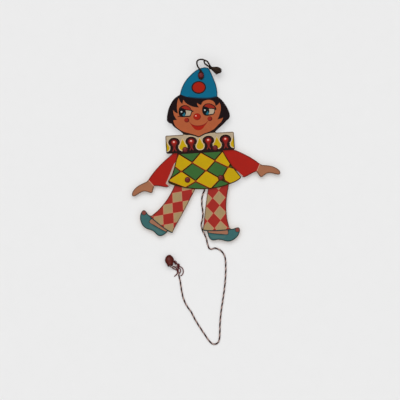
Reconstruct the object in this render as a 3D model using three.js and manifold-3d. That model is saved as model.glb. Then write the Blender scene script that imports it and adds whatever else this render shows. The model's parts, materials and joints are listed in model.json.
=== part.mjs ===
// A pull-string jumping jack clown: flat plywood boards on round pegs, worked by cross strings and a pull cord.
// Millimetres, +Z up, +X to the viewer's right. The printed face looks towards -Y and the wall is at +Y.
// The origin is on the body board's back face, where the axis of the hat's hanging peg comes out of it.
import * as THREE from "three";
import { mergeVertices } from "three/addons/utils/BufferGeometryUtils.js";
import Module from "manifold-3d";

const wasm = await Module();
wasm.setup();

// Boards, from front to back along Y.
const BOARD_THICKNESS = 4;
const BOARD_FRONT = -BOARD_THICKNESS;
const LIMB_FRONT = 0.4;
const LIMB_BACK = LIMB_FRONT + BOARD_THICKNESS;
const WALL = 9.6;

// Pegs and their caps.
const PEG_RADIUS = 1.8;
const PEG_HEAD_RADIUS = 4;
const PEG_HEAD_HEIGHT = 2.3;
const PEG_STANDOFF = 0.05;
const HAT_PEG_STANDOFF = 2.2;
const PEG_END = 7.2;
const BODY_HOLE_RADIUS = 1.9;
const PIVOT_HOLE_RADIUS = 2.05;
const CAP_RADIUS = 4.5;
const CAP_FRONT = 4.7;

// The pivots on the body board.
const SHOULDER_Z = -102.5;
const SHOULDER_MIDDLE_X = -7.5;
const SHOULDER_SPREAD = 21;
const HIP_Z = -144.75;
const HIP_MIDDLE_X = -4.5;
const HIP_SPREAD = 23.25;

// Limb angles at rest, in degrees: an arm's droop below level, a leg's swing out from the drawn position.
const ARM_DROOP = { left: 38.1, right: 25.3 };
const LEG_SWING = { left: 42, right: 0 };

// Lever tabs: the string hole's distance from the pivot, and the leg lever's angle above the horizontal.
const ARM_LEVER = 14;
const LEG_LEVER = 11;
const LEG_LEVER_ANGLE = 35;
const STRING_HOLE_RADIUS = 1.1;
const LEVER_KNOT_RADIUS = 1.7;

// Cross strings: one layer for the left limbs, one behind it for the right.
const STRING_RADIUS = 0.4;
const STRING_LAYER = { left: 5, right: 5.9 };
const STRING_START = 2;
const ARM_STRING_LENGTH = 15.5;
const LEG_STRING_LENGTH = 17;
const UPPER_KNOT = [SHOULDER_MIDDLE_X, -106.5];
const LOWER_KNOT = [HIP_MIDDLE_X, -142.75];

// Cords.
const CORD_SIDES = 6;
const CORD_RADIUS = 1.05;
const CORD_Y = 8;
const LOOP_RADIUS = 0.9;
const HANGER_RADIUS = 1;
const HANGER_Y = BOARD_FRONT - PEG_STANDOFF - HANGER_RADIUS - 0.1;
const TASSEL_KNOT = [13.6, 10.4];

// Pull bead: its middle, its lean in the picture plane and its tilt back, in degrees.
const BEAD_MIDDLE = [-59.8, 3, -255.9];
const BEAD_LEAN = 5;
const BEAD_TILT = 24;
const BEAD_RADIUS = 6.3;
const BEAD_HALF_LENGTH = 7.8;
const BEAD_BORE = 1.5;

// The wraps of the knot that ties off the pull cord, as ellipsoids.
const TIE_WRAPS = [
  { middle: [-48, 6.8, -264.4], radii: [2.1, 2.2, 4.3] },
  { middle: [-49.2, 7.4, -270.6], radii: [1.7, 1.9, 2.6] },
];

const radians = THREE.MathUtils.degToRad;

// ---------------------------------------------------------------- shapes and solids

function paint(color, roughness) {
  return new THREE.MeshStandardMaterial({ color, roughness, metalness: 0 });
}

// Runs a path smoothly through the given [x, z] points. A new call starts a sharp corner.
function through(path, ...points) {
  path.splineThru(points.map(([x, z]) => new THREE.Vector2(x, z)));
}

function circlePoints(x, z, radius, segments = 20) {
  return new THREE.EllipseCurve(x, z, radius, radius).getPoints(segments);
}

function drill(shape, x, z, radius) {
  shape.holes.push(new THREE.Path(circlePoints(x, z, radius)));
}

function welded(geometry) {
  const bare = geometry.clone();
  bare.deleteAttribute("normal");
  bare.deleteAttribute("uv");
  return mergeVertices(bare, 1e-4);
}

// A board cut to a shape that is drawn in X and Z.
function board(shape, front, back) {
  const settings = { depth: back - front, bevelEnabled: false, curveSegments: 4 };
  const geometry = new THREE.ExtrudeGeometry(shape, settings);
  return welded(geometry.rotateX(Math.PI / 2).translate(0, back, 0));
}

// A turned piece: [radius, y] points from its front to its back, about the Y axis.
function turned(profile, segments = 20) {
  const points = profile.map(([radius, y]) => new THREE.Vector2(radius, y));
  return welded(new THREE.LatheGeometry(points, segments));
}

function mirrored(geometry) {
  const flipped = geometry.clone().scale(-1, 1, 1);
  const corners = flipped.index.array;
  for (let i = 0; i < corners.length; i += 3) {
    [corners[i], corners[i + 1]] = [corners[i + 1], corners[i]];
  }
  return flipped;
}

// A round cord of even thickness through [x, y, z] points.
function cord(points, radius, steps) {
  const extrudePath = new THREE.CatmullRomCurve3(points.map((point) => new THREE.Vector3(...point)));
  const section = new THREE.Shape(circlePoints(0, 0, radius, CORD_SIDES));
  return welded(new THREE.ExtrudeGeometry(section, { steps, extrudePath, bevelEnabled: false }));
}

function lump(middle, radii) {
  const ball = new THREE.SphereGeometry(1, 12, 8);
  return welded(ball.scale(...radii).translate(...middle));
}

function solid(geometry) {
  const vertProperties = new Float32Array(geometry.attributes.position.array);
  const triVerts = new Uint32Array(geometry.index.array);
  return new wasm.Manifold(new wasm.Mesh({ numProp: 3, vertProperties, triVerts }));
}

function surface(manifold) {
  const mesh = manifold.getMesh();
  const geometry = new THREE.BufferGeometry();
  geometry.setAttribute("position", new THREE.BufferAttribute(mesh.vertProperties, 3));
  geometry.setIndex(new THREE.BufferAttribute(mesh.triVerts, 1));
  return geometry;
}

function joined(...geometries) {
  return surface(geometries.map(solid).reduce((whole, piece) => whole.add(piece)));
}

function cut(geometry, ...tools) {
  return surface(tools.map(solid).reduce((rest, tool) => rest.subtract(tool), solid(geometry)));
}

const puppet = new THREE.Group();

function place(name, geometry, material, parent = puppet) {
  const mesh = new THREE.Mesh(geometry, material);
  mesh.name = name;
  parent.add(mesh);
  return mesh;
}

const materials = {
  bodyPrint: paint(0x7c6a2a, 0.6),
  armPrint: paint(0xb8961e, 0.6),
  legPrint: paint(0x9b2d28, 0.6),
  pegPaint: paint(0x69232d, 0.35),
  bareWood: paint(0xc9a878, 0.7),
  beadPaint: paint(0x5a231e, 0.3),
  hangerCord: paint(0x2a1e1a, 0.9),
  pullCord: paint(0x5f3638, 0.9),
  thinString: paint(0xcfc6b4, 0.9),
};

// ---------------------------------------------------------------- body board

function bodyOutline() {
  const shape = new THREE.Shape();
  shape.moveTo(5.8, 11);
  // Hat, right side.
  through(shape, [10.8, 9.6], [13.3, 5], [17, -4.5], [20.3, -15], [21.4, -24], [21.2, -30.8]);
  // Hair, then cheek and jaw, right side.
  through(shape, [27.5, -36.7], [33.6, -46.7], [36.8, -56.5], [35.8, -62], [31.6, -65.5]);
  through(shape, [27.5, -69.6], [21.5, -74.4], [15.2, -79.6]);
  // Collar, right side.
  const collar = { left: -55, right: 41, top: -81.3, bottom: -106.6, corner: 2.2 };
  shape.lineTo(16.2, collar.top);
  const rightCorner = collar.right - collar.corner;
  shape.absarc(rightCorner, collar.top - collar.corner, collar.corner, Math.PI / 2, 0, true);
  shape.absarc(rightCorner, collar.bottom + collar.corner, collar.corner, 0, -Math.PI / 2, true);
  // Torso: right side, hem, left side.
  shape.lineTo(24.2, collar.bottom);
  through(shape, [29, -117], [35, -127.4], [40.6, -135.6], [47.4, -144.8]);
  through(shape, [45.5, -148], [36, -152.7], [20, -157.2], [3, -159.2]);
  through(shape, [-12, -159], [-30, -156.1], [-46, -151.6], [-54.2, -147.6], [-54.8, -144.6]);
  through(shape, [-49.4, -136.6], [-44.2, -123], [-39.6, collar.bottom]);
  // Collar, left side.
  const leftCorner = collar.left + collar.corner;
  shape.absarc(leftCorner, collar.bottom + collar.corner, collar.corner, -Math.PI / 2, -Math.PI, true);
  shape.absarc(leftCorner, collar.top - collar.corner, collar.corner, Math.PI, Math.PI / 2, true);
  shape.lineTo(-30.6, collar.top);
  // Jaw and cheek, then hair, left side.
  shape.lineTo(-29.8, -80.2);
  through(shape, [-33.4, -76.6], [-38.6, -72.4], [-42.2, -69.4], [-45, -65.2]);
  through(shape, [-49.8, -62.6], [-51.3, -57.6], [-48, -43.8], [-40.4, -31.4], [-31, -25]);
  // Hat, left side.
  through(shape, [-28.2, -16.5], [-21.6, -5.6], [-11, 4.4], [-2, 9.5], [5.8, 11]);
  return shape;
}

function bodyBoard() {
  const shape = bodyOutline();
  drill(shape, 0, 0, BODY_HOLE_RADIUS);
  for (const side of [-1, 1]) {
    drill(shape, SHOULDER_MIDDLE_X + side * SHOULDER_SPREAD, SHOULDER_Z, BODY_HOLE_RADIUS);
    drill(shape, HIP_MIDDLE_X + side * HIP_SPREAD, HIP_Z, BODY_HOLE_RADIUS);
  }
  place("body_board", board(shape, BOARD_FRONT, 0), materials.bodyPrint);
}

// ---------------------------------------------------------------- limbs

// The right arm, drawn level and pointing to +X, with its pivot at the origin and its lever tab behind it.
function armShape() {
  const shape = new THREE.Shape();
  shape.moveTo(0, 8.4);
  through(shape, [20, 7.7], [34, 7.8], [48, 6.7], [58, 5], [66.5, 2.8]);
  // Hand and thumb.
  through(
    shape,
    [70.5, 2.7], [76, 4.4], [83, 6], [90, 5.9], [95.5, 4.2], [98, 1.2], [96.4, -1.5], [91, -2.7],
  );
  through(shape, [85, -3.8], [80.8, -6.1], [78, -10.2], [76, -13.3], [73.8, -14], [71.4, -12.5], [66, -9]);
  // Sleeve end, then the sleeve's under edge back to the shoulder.
  through(shape, [62, -12.8], [58.5, -17], [55, -21.2], [52, -23.2], [48.6, -22.6]);
  through(shape, [42.3, -19.6], [34, -16.4], [20, -12.2], [4, -8]);
  // Lever tab.
  const tab = 4.5;
  shape.lineTo(-ARM_LEVER + 3, -tab);
  shape.absarc(-ARM_LEVER, 0, tab, -Math.PI / 2, -Math.PI * 1.5, true);
  through(shape, [-6, 6.2], [0, 8.4]);
  drill(shape, 0, 0, PIVOT_HOLE_RADIUS);
  drill(shape, -ARM_LEVER, 0, STRING_HOLE_RADIUS);
  return shape;
}

// The right leg, hanging as drawn, with its pivot at the origin and its lever tab up and inwards.
function legShape() {
  const [leverX, leverZ] = legLeverHole();
  const shape = new THREE.Shape();
  shape.moveTo(11, 0);
  // Outer edge of the trouser leg.
  through(shape, [10.6, -12], [8.4, -21.5], [6.5, -31], [5.4, -41], [5.3, -50], [6, -60], [8.3, -70.6]);
  // Instep and toe.
  through(
    shape,
    [11, -72.1], [14.5, -71.8], [18.3, -70.7], [21.4, -71.1], [22.6, -74.4], [21, -79.9], [17.4, -84.7],
  );
  // Sole and heel.
  through(shape, [12.4, -88], [7.2, -89.6], [2, -89.1], [-3.5, -87.2], [-8.5, -86.2], [-13.5, -86.9]);
  through(shape, [-17.2, -86.6], [-20.4, -84], [-22.5, -79.6], [-23.4, -73.2]);
  // Hem and inner edge.
  through(shape, [-27.6, -72.6], [-29.7, -71]);
  through(shape, [-28, -64.6], [-26, -52.5], [-24, -41], [-21.3, -26.5], [-18.6, -14], [-16.6, -3]);
  // Lever tab and the round top.
  shape.absarc(leverX, leverZ, 4.6, Math.PI, Math.PI * 0.6, true);
  shape.absarc(0, 0, 11, Math.PI * 0.55, 0, true);
  drill(shape, 0, 0, PIVOT_HOLE_RADIUS);
  drill(shape, leverX, leverZ, STRING_HOLE_RADIUS);
  return shape;
}

function legLeverHole() {
  const angle = radians(LEG_LEVER_ANGLE);
  return [-LEG_LEVER * Math.cos(angle), LEG_LEVER * Math.sin(angle)];
}

// The knot that fills a lever's string hole, ending in a flattened lump behind the board.
function leverKnot(lumpBack) {
  const stub = 0.8;
  const lumpFront = LIMB_BACK + 0.2;
  const middle = (lumpFront + lumpBack) / 2;
  return turned([
    [0, LIMB_FRONT + 0.6],
    [stub, LIMB_FRONT + 0.6],
    [stub, lumpFront],
    [LEVER_KNOT_RADIUS - 0.4, lumpFront],
    [LEVER_KNOT_RADIUS, middle],
    [LEVER_KNOT_RADIUS - 0.4, lumpBack],
    [0, lumpBack],
  ], 12);
}

// A straight string from its knot in the lever hole towards a knot on the pull cord.
function crossString(hole, knot, y, length) {
  const [holeX, holeZ] = hole;
  const [knotX, knotZ] = knot;
  const reach = Math.hypot(knotX - holeX, knotZ - holeZ);
  const along = (distance) => [
    holeX + ((knotX - holeX) * distance) / reach,
    y,
    holeZ + ((knotZ - holeZ) * distance) / reach,
  ];
  return cord([along(STRING_START), along(length)], STRING_RADIUS, 1);
}

// One limb with its knot and string. The limb is drawn for the right and mirrored for the left.
function addLimb(limb) {
  const { name, side, pivot, turn, geometry, lever, knot, stringLength, material } = limb;
  const sign = side === "left" ? -1 : 1;
  const group = new THREE.Group();
  group.position.set(pivot[0], 0, pivot[1]);
  group.rotation.y = turn;
  puppet.add(group);
  place(`${name}_${side}`, sign < 0 ? mirrored(geometry) : geometry, material, group);

  const layer = STRING_LAYER[side];
  const lumpBack = layer + STRING_RADIUS + 0.1;
  const tie = place(`lever_knot_${name}_${side}`, leverKnot(lumpBack), materials.thinString, group);
  tie.position.set(sign * lever[0], 0, lever[1]);

  group.updateMatrixWorld(true);
  const hole = tie.getWorldPosition(new THREE.Vector3());
  const string = crossString([hole.x, hole.z], knot, layer, stringLength);
  place(`${name}_string_${side}`, string, materials.thinString);
}

function addLimbs() {
  const armGeometry = board(armShape(), LIMB_FRONT, LIMB_BACK);
  const legGeometry = board(legShape(), LIMB_FRONT, LIMB_BACK);
  for (const side of ["left", "right"]) {
    const sign = side === "left" ? -1 : 1;
    addLimb({
      name: "arm",
      side,
      pivot: [SHOULDER_MIDDLE_X + sign * SHOULDER_SPREAD, SHOULDER_Z],
      turn: sign * radians(ARM_DROOP[side]),
      geometry: armGeometry,
      lever: [-ARM_LEVER, 0],
      knot: UPPER_KNOT,
      stringLength: ARM_STRING_LENGTH,
      material: materials.armPrint,
    });
    addLimb({
      name: "leg",
      side,
      pivot: [HIP_MIDDLE_X + sign * HIP_SPREAD, HIP_Z],
      turn: -sign * radians(LEG_SWING[side]),
      geometry: legGeometry,
      lever: legLeverHole(),
      knot: LOWER_KNOT,
      stringLength: LEG_STRING_LENGTH,
      material: materials.legPrint,
    });
  }
}

// ---------------------------------------------------------------- pegs and caps

// A round-headed peg: a domed head in front of the board and a plain shank behind it.
function peg(standoff, end) {
  const under = BOARD_FRONT - standoff;
  const front = under - PEG_HEAD_HEIGHT;
  return turned([
    [0, front],
    [1.6, front + 0.12],
    [2.8, front + 0.55],
    [3.6, front + 1.15],
    [PEG_HEAD_RADIUS, front + 1.8],
    [PEG_HEAD_RADIUS - 0.2, under],
    [PEG_RADIUS, under],
    [PEG_RADIUS, end],
    [0, end],
  ]);
}

// A round cap with a blind hole, glued on a pivot peg's rear end.
function cap() {
  const ease = 0.4;
  const bore = PEG_RADIUS + 0.1;
  return turned([
    [0, PEG_END + 0.2],
    [bore, PEG_END + 0.2],
    [bore, CAP_FRONT],
    [CAP_RADIUS - ease, CAP_FRONT],
    [CAP_RADIUS, CAP_FRONT + ease],
    [CAP_RADIUS, WALL - ease],
    [CAP_RADIUS - ease, WALL],
    [0, WALL],
  ]);
}

function addPegs() {
  place("hat_peg", peg(HAT_PEG_STANDOFF, 0), materials.pegPaint);
  const pivotPeg = peg(PEG_STANDOFF, PEG_END);
  const rearCap = cap();
  for (const side of ["left", "right"]) {
    const sign = side === "left" ? -1 : 1;
    const shoulderX = SHOULDER_MIDDLE_X + sign * SHOULDER_SPREAD;
    const hipX = HIP_MIDDLE_X + sign * HIP_SPREAD;
    place(`shoulder_peg_${side}`, pivotPeg, materials.pegPaint).position.set(shoulderX, 0, SHOULDER_Z);
    place(`hip_peg_${side}`, pivotPeg, materials.pegPaint).position.set(hipX, 0, HIP_Z);
    const shoulderCap = place(`retaining_cap_shoulder_${side}`, rearCap, materials.bareWood);
    shoulderCap.position.set(shoulderX, 0, SHOULDER_Z);
    const hipCap = place(`retaining_cap_hip_${side}`, rearCap, materials.bareWood);
    hipCap.position.set(hipX, 0, HIP_Z);
  }
}

// ---------------------------------------------------------------- hanging cord, looped round the hat peg's neck

function addHanger() {
  const flat = (points) => points.map(([x, z]) => [x, HANGER_Y, z]);
  const [knotX, knotZ] = TASSEL_KNOT;
  // Round the peg's neck: one half on each side, met below it and in the stem.
  const noosePoints = [[0.9, 7.3], [2.2, 4.6], [3, 0.8], [2.5, -3], [-0.3, -4.9]];
  const nooseRight = cord(flat(noosePoints), HANGER_RADIUS, 12);
  const nooseLeft = cord(flat(noosePoints.map(([x, z]) => [-x, z - 0.1])), HANGER_RADIUS, 12);
  const stem = cord(flat([
    [-0.2, 6.2], [-0.7, 7.8], [-1.8, 10], [-3.4, 13.2], [-4.2, 17.2], [-3.6, 20.6], [-1.2, 22.5],
    [2.6, 22.8], [6.2, 21.2], [9.6, 19.4], [11.4, 16.8], [12.6, 13.8], [knotX, knotZ],
  ]), HANGER_RADIUS, 32);
  const eyePoints = [[6.2, 20.9], [5.7, 18.4], [6.6, 16], [8.8, 13.8], [knotX, knotZ]];
  const eyeStrand = cord(flat(eyePoints), HANGER_RADIUS, 12);
  const knotRadii = [1.9, 1.6, 2.5];
  const knotMiddle = [knotX, HANGER_Y - 0.6, knotZ];
  const knotRoom = lump(knotMiddle, knotRadii.map((radius) => radius + 0.15));
  place("hanging_cord", cut(joined(nooseLeft, nooseRight, stem, eyeStrand), knotRoom), materials.hangerCord);
  place("hanging_knot", lump(knotMiddle, knotRadii), materials.hangerCord);
  place("tassel", cut(tasselSolid(), knotRoom), materials.hangerCord);
}

// The frayed ends: a flat drop that widens away from the knot.
function tasselSolid() {
  const [knotX, knotZ] = TASSEL_KNOT;
  const shape = new THREE.Shape();
  shape.moveTo(knotX, knotZ + 0.8);
  through(
    shape,
    [19, 11.2], [24, 10.9], [28, 9.3], [29.7, 7.2], [29.6, 4.4], [28, 2.2], [24.6, 1.5], [22, 0.3],
  );
  through(shape, [19, 3.2], [16.4, 6.2], [knotX, knotZ - 2]);
  return board(shape, HANGER_Y - 1.1, HANGER_Y + 0.7);
}

// ---------------------------------------------------------------- pull cord, its knots and the bead

function pullCord(radius) {
  const [upperX, upperZ] = UPPER_KNOT;
  const [lowerX, lowerZ] = LOWER_KNOT;
  const path = [
    [upperX, upperZ + 3], [upperX, upperZ], [-6.4, -124], [lowerX, lowerZ], [-5, -160],
    [-8.6, -169], [-9.8, -180], [-9.2, -190], [-9.8, -199], [-12.3, -208], [-11, -217], [-7, -226.5],
    [-5.2, -236], [-3.2, -242.4], [0.4, -243.6], [4.8, -242.6], [10.4, -244.8], [15.2, -249.4], [18, -256],
    [18.5, -266], [17.4, -281], [15, -298], [11.6, -315], [8.2, -331], [5.4, -349], [4.1, -364],
    [2.4, -372.8], [-1.2, -376.6], [-5.4, -377], [-10, -373.6], [-15.6, -365], [-22, -354], [-28.6, -342],
    [-34, -330], [-39.6, -321], [-43.6, -310.6], [-45.6, -299], [-46.6, -287], [-48.2, -277], [-49.6, -269.5],
  ];
  return cord(path.map(([x, z]) => [x, CORD_Y, z]), radius, 110);
}

// The wraps where a pair of cross strings is tied round the pull cord.
function crossKnot([x, z], room) {
  return cut(lump([x, CORD_Y, z], [2.3, 1.5, 2.6]), room);
}

function tieWraps(room = 0) {
  return TIE_WRAPS.map(({ middle, radii }) => lump(middle, radii.map((radius) => radius + room)));
}

// The end of the pull cord, tied off with a bight to the left, two curls to the right and a loose tail.
function beadTie() {
  const bight = cord([
    [-49.4, 7.4, -270.5], [-52.6, 7.8, -269.2], [-56, 8.2, -267.2], [-56.2, 8.3, -265.6], [-54, 8, -264.8],
    [-51.4, 7.6, -267], [-49.6, 7.3, -269.6],
  ], LOOP_RADIUS, 18);
  const outerCurl = cord([
    [-47.8, 7.6, -265.4], [-44.6, 8.2, -266], [-42, 8.4, -269.2], [-41.7, 8.4, -273.4], [-43, 8.4, -276.8],
    [-45.4, 8.4, -278.3],
  ], LOOP_RADIUS, 16);
  const innerCurl = cord([
    [-47.6, 7, -267], [-45.4, 7.2, -269.4], [-45.3, 7.3, -272.2], [-47, 7.4, -274.6], [-49, 7.4, -271.6],
  ], LOOP_RADIUS, 14);
  const tail = cord([
    [-49.2, 7.4, -271.4], [-50.4, 8, -275], [-52.4, 8.4, -277.2], [-54.8, 8.4, -278.8],
  ], LOOP_RADIUS, 8);
  return joined(...tieWraps(), bight, outerCurl, innerCurl, tail);
}

// Carries a geometry or a point from the bead's own frame, whose Y axis is its hole, to its place.
function beadMatrix() {
  const lean = new THREE.Matrix4().makeRotationY(radians(-BEAD_LEAN));
  const tilt = new THREE.Matrix4().makeRotationX(radians(90 - BEAD_TILT));
  return new THREE.Matrix4().makeTranslation(...BEAD_MIDDLE).multiply(lean).multiply(tilt);
}

function bead() {
  const low = -BEAD_HALF_LENGTH;
  const high = BEAD_HALF_LENGTH;
  return turned([
    [BEAD_BORE, low],
    [3.7, low],
    [4, low + 0.5],
    [4.2, low + 1.6],
    [4.9, low + 3.6],
    [BEAD_RADIUS - 0.3, low + 6.4],
    [BEAD_RADIUS, low + 8.6],
    [BEAD_RADIUS - 0.5, low + 11],
    [4.6, low + 13.2],
    [2.6, high - 0.5],
    [BEAD_BORE, high],
    [BEAD_BORE, low],
  ], 24);
}

// The strand that leaves the knot, runs up through the bead and comes back down its right shoulder.
function beadLoop(matrix) {
  const inBead = (y) => new THREE.Vector3(0, y, 0).applyMatrix4(matrix).toArray();
  const half = BEAD_HALF_LENGTH;
  return cord([
    [-48.4, 6.8, -264], [-54, 5.2, -266], [-57.8, 1.9, -265.4],
    inBead(-half + 0.4), inBead(-half / 3), inBead(half / 3), inBead(half - 0.2),
    [-58.9, 8.3, -248.4], [-56.6, 8.5, -250.2], [-54.4, 8.5, -253.8], [-52.4, 8.3, -258], [-48.4, 7, -263],
  ], LOOP_RADIUS, 44);
}

function addPullCord() {
  const tie = beadTie();
  const tieRoom = tieWraps(0.2);
  const knotRoom = pullCord(CORD_RADIUS + 0.1);
  const matrix = beadMatrix();
  place("pull_cord", cut(pullCord(CORD_RADIUS), ...tieRoom, tie), materials.pullCord);
  place("cross_knot_upper", crossKnot(UPPER_KNOT, knotRoom), materials.thinString);
  place("cross_knot_lower", crossKnot(LOWER_KNOT, knotRoom), materials.thinString);
  place("bead_tie", tie, materials.pullCord);
  place("bead_loop", cut(beadLoop(matrix), ...tieRoom), materials.pullCord);
  place("pull_bead", bead().applyMatrix4(matrix), materials.beadPaint);
}

bodyBoard();
addLimbs();
addPegs();
addHanger();
addPullCord();

export default puppet;
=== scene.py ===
"""Looks of the pull-string jumping jack clown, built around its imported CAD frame.

Shapes are written in millimetres and scaled to metres when a mesh is made. The printed face looks towards -Y.
"""
import json
import math
import random

import bpy
import numpy as np
from mathutils import Matrix, Vector
from mathutils.geometry import delaunay_2d_cdt


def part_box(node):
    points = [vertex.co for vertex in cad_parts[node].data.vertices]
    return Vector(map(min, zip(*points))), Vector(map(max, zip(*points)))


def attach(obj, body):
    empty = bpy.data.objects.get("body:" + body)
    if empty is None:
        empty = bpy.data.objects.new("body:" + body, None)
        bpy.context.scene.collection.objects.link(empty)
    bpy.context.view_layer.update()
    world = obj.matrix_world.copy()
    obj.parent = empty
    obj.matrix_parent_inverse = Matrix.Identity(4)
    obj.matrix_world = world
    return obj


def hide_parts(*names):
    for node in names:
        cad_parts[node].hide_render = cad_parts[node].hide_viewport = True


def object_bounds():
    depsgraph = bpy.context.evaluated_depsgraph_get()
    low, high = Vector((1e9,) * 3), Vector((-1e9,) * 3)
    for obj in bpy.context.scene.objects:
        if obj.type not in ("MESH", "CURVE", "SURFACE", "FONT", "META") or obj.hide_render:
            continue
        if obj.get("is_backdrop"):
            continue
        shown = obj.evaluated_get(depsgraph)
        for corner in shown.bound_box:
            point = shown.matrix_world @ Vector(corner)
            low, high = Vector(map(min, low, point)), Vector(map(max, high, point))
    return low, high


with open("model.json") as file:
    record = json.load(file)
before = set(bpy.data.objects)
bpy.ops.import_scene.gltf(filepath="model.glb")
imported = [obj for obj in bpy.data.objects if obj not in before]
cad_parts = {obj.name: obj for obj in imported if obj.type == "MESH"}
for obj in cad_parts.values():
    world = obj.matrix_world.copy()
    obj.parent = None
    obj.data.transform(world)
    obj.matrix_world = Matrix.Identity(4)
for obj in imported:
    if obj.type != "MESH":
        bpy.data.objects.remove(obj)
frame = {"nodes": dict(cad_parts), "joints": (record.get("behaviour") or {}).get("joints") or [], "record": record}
cad_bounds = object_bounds()

MM = 0.001
rng = random.Random(7)

# ---------------------------------------------------------------- inks and dyes, as sRGB 0..255

INKS = {
    "hat": (0, 97, 128),
    "hat_edge": (9, 62, 84),
    "hair": (26, 15, 17),
    "skin": (168, 87, 51),
    "red": (157, 26, 7),
    "deep_red": (122, 26, 20),
    "dark_red": (92, 20, 16),
    "maroon": (58, 14, 14),
    "stem": (128, 36, 30),
    "toe": (125, 64, 56),
    "rose": (210, 112, 100),
    "white": (222, 196, 180),
    "eye_light": (176, 180, 176),
    "sclera": (173, 155, 132),
    "iris": (14, 16, 20),
    "iris_blue": (26, 98, 116),
    "lid": (143, 35, 21),
    "line": (34, 21, 18),
    "collar": (174, 156, 130),
    "collar_edge": (120, 100, 78),
    "cream": (202, 178, 142),
    "yellow": (186, 153, 0),
    "green": (54, 98, 46),
    "torso_line": (48, 26, 2),
    "orange": (206, 134, 32),
    "red_line": (96, 34, 6),
    "crossing": (136, 54, 16),
    "nib": (72, 70, 44),
    "sleeve": (159, 27, 17),
    "sleeve_edge": (112, 28, 22),
    "cuff": (206, 150, 128),
    "hand": (156, 102, 73),
    "hand_edge": (112, 74, 52),
    "bare": (160, 135, 96),
    "bare_edge": (120, 98, 74),
    "pale_bare": (178, 160, 146),
    "trouser": (154, 40, 33),
    "trouser_edge": (104, 34, 28),
    "diamond_rim": (187, 126, 96),
    "shoe": (56, 99, 99),
    "shoe_light": (70, 105, 103),
    "shoe_edge": (38, 52, 52),
    "foot": (156, 106, 81),
}
UNPRINTED = {"bare", "pale_bare", "bare_edge"}

# What each ink turns into in the narrow band along a board's cut edge: partly a printed outline, partly painted
# shade where the edge rounds away.
EDGE_OUTLINE_AND_SHADE = {
    "hat": "hat_edge",
    "yellow": "torso_line",
    "orange": "torso_line",
    "green": "torso_line",
    "sleeve": "sleeve_edge",
    "hand": "hand_edge",
    "trouser": "trouser_edge",
    "diamond_rim": "trouser_edge",
    "bare": "bare_edge",
    "collar": "collar_edge",
    "cream": "collar_edge",
    "shoe": "shoe_edge",
    "shoe_light": "shoe_edge",
    "foot": "shoe_edge",
}


def linear(color):
    """An sRGB 0..255 colour as linear RGBA."""
    scaled = [channel / 255 for channel in color]
    return (*[c / 12.92 if c <= 0.04045 else ((c + 0.055) / 1.055) ** 2.4 for c in scaled], 1.0)


# ---------------------------------------------------------------- curves

PRINT_STEP = 0.9


def smooth(points, step, closed=False):
    """Points about a step apart on a centripetal Catmull-Rom curve through the given ones."""
    knots = [np.array(point, float) for point in points]
    count = len(knots)
    result = []
    for i in range(count if closed else count - 1):
        b, c = knots[i], knots[(i + 1) % count]
        a = knots[i - 1] if closed or i else 2 * b - c
        d = knots[(i + 2) % count] if closed or i + 2 < count else 2 * c - b
        before, here, after = (math.sqrt(np.linalg.norm(q - p)) for p, q in ((a, b), (b, c), (c, d)))
        leave = (c - b) + here * ((b - a) / before - (c - a) / (before + here))
        arrive = (c - b) + here * ((d - c) / after - (d - b) / (here + after))
        pieces = max(1, math.ceil(np.linalg.norm(c - b) / step))
        for k in range(pieces):
            t = k / pieces
            result.append(
                (2 * t**3 - 3 * t**2 + 1) * b
                + (t**3 - 2 * t**2 + t) * leave
                + (3 * t**2 - 2 * t**3) * c
                + (t**3 - t**2) * arrive
            )
    if not closed:
        result.append(knots[-1])
    return result


def outline(*runs):
    """A closed shape of smooth runs that meet at corners. Each run starts where the one before it ended."""
    loop = []
    last = runs[-1][-1]
    for run in runs:
        points = [last, *run]
        loop += smooth(points, PRINT_STEP)[:-1] if len(points) > 2 else [np.array(last, float)]
        last = run[-1]
    return loop


def both_sides(x, half, shared=0):
    """A half outline right of the line at x, then its mirror image without the points shared at the end."""
    mirror = half[: len(half) - shared]
    return [(x + across, z) for across, z in half] + [(x - across, z) for across, z in reversed(mirror)]


def disc(x, z, across, up=None, sides=40):
    turns = [2 * math.pi * k / sides for k in range(sides)]
    return [np.array((x + across * math.cos(t), z + (up or across) * math.sin(t))) for t in turns]


def area(loop):
    x, z = np.array(loop).T
    return 0.5 * float(np.sum(x * np.roll(z, -1) - z * np.roll(x, -1)))


def stroke(points, width, start=1.0, end=1.0):
    """A drawn line. Start and end say what share of the width is left at each tip."""
    line = np.array(smooth(points, PRINT_STEP))
    along = np.gradient(line, axis=0)
    along /= np.linalg.norm(along, axis=1)[:, None]
    side = np.stack((-along[:, 1], along[:, 0]), axis=1)
    t = np.linspace(0, 1, len(line))
    swell = np.sin(math.pi * t) ** 0.6
    half = width / 2 * np.maximum(np.interp(t, (0, 1), (start, end)), swell)
    left, right = line + side * half[:, None], line - side * half[:, None]
    return [*right, *left[::-1]]


def shrunk(loop, distance):
    """The closed loop of corners moved inwards by a distance. The loop runs anticlockwise."""
    points = np.array(loop, float)
    before, after = np.roll(points, 1, axis=0), np.roll(points, -1, axis=0)
    first = points - before
    second = after - points
    first /= np.linalg.norm(first, axis=1)[:, None]
    second /= np.linalg.norm(second, axis=1)[:, None]
    inward = np.stack((-(first + second)[:, 1], (first + second)[:, 0]), axis=1)
    inward /= np.linalg.norm(inward, axis=1)[:, None]
    share = np.maximum(0.35, np.abs(inward[:, 0] * -first[:, 1] + inward[:, 1] * first[:, 0]))
    return points + inward * (distance / share)[:, None]


def anticlockwise(loop):
    return list(loop) if area(loop) > 0 else list(loop)[::-1]


# ---------------------------------------------------------------- artwork of the body board


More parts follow.
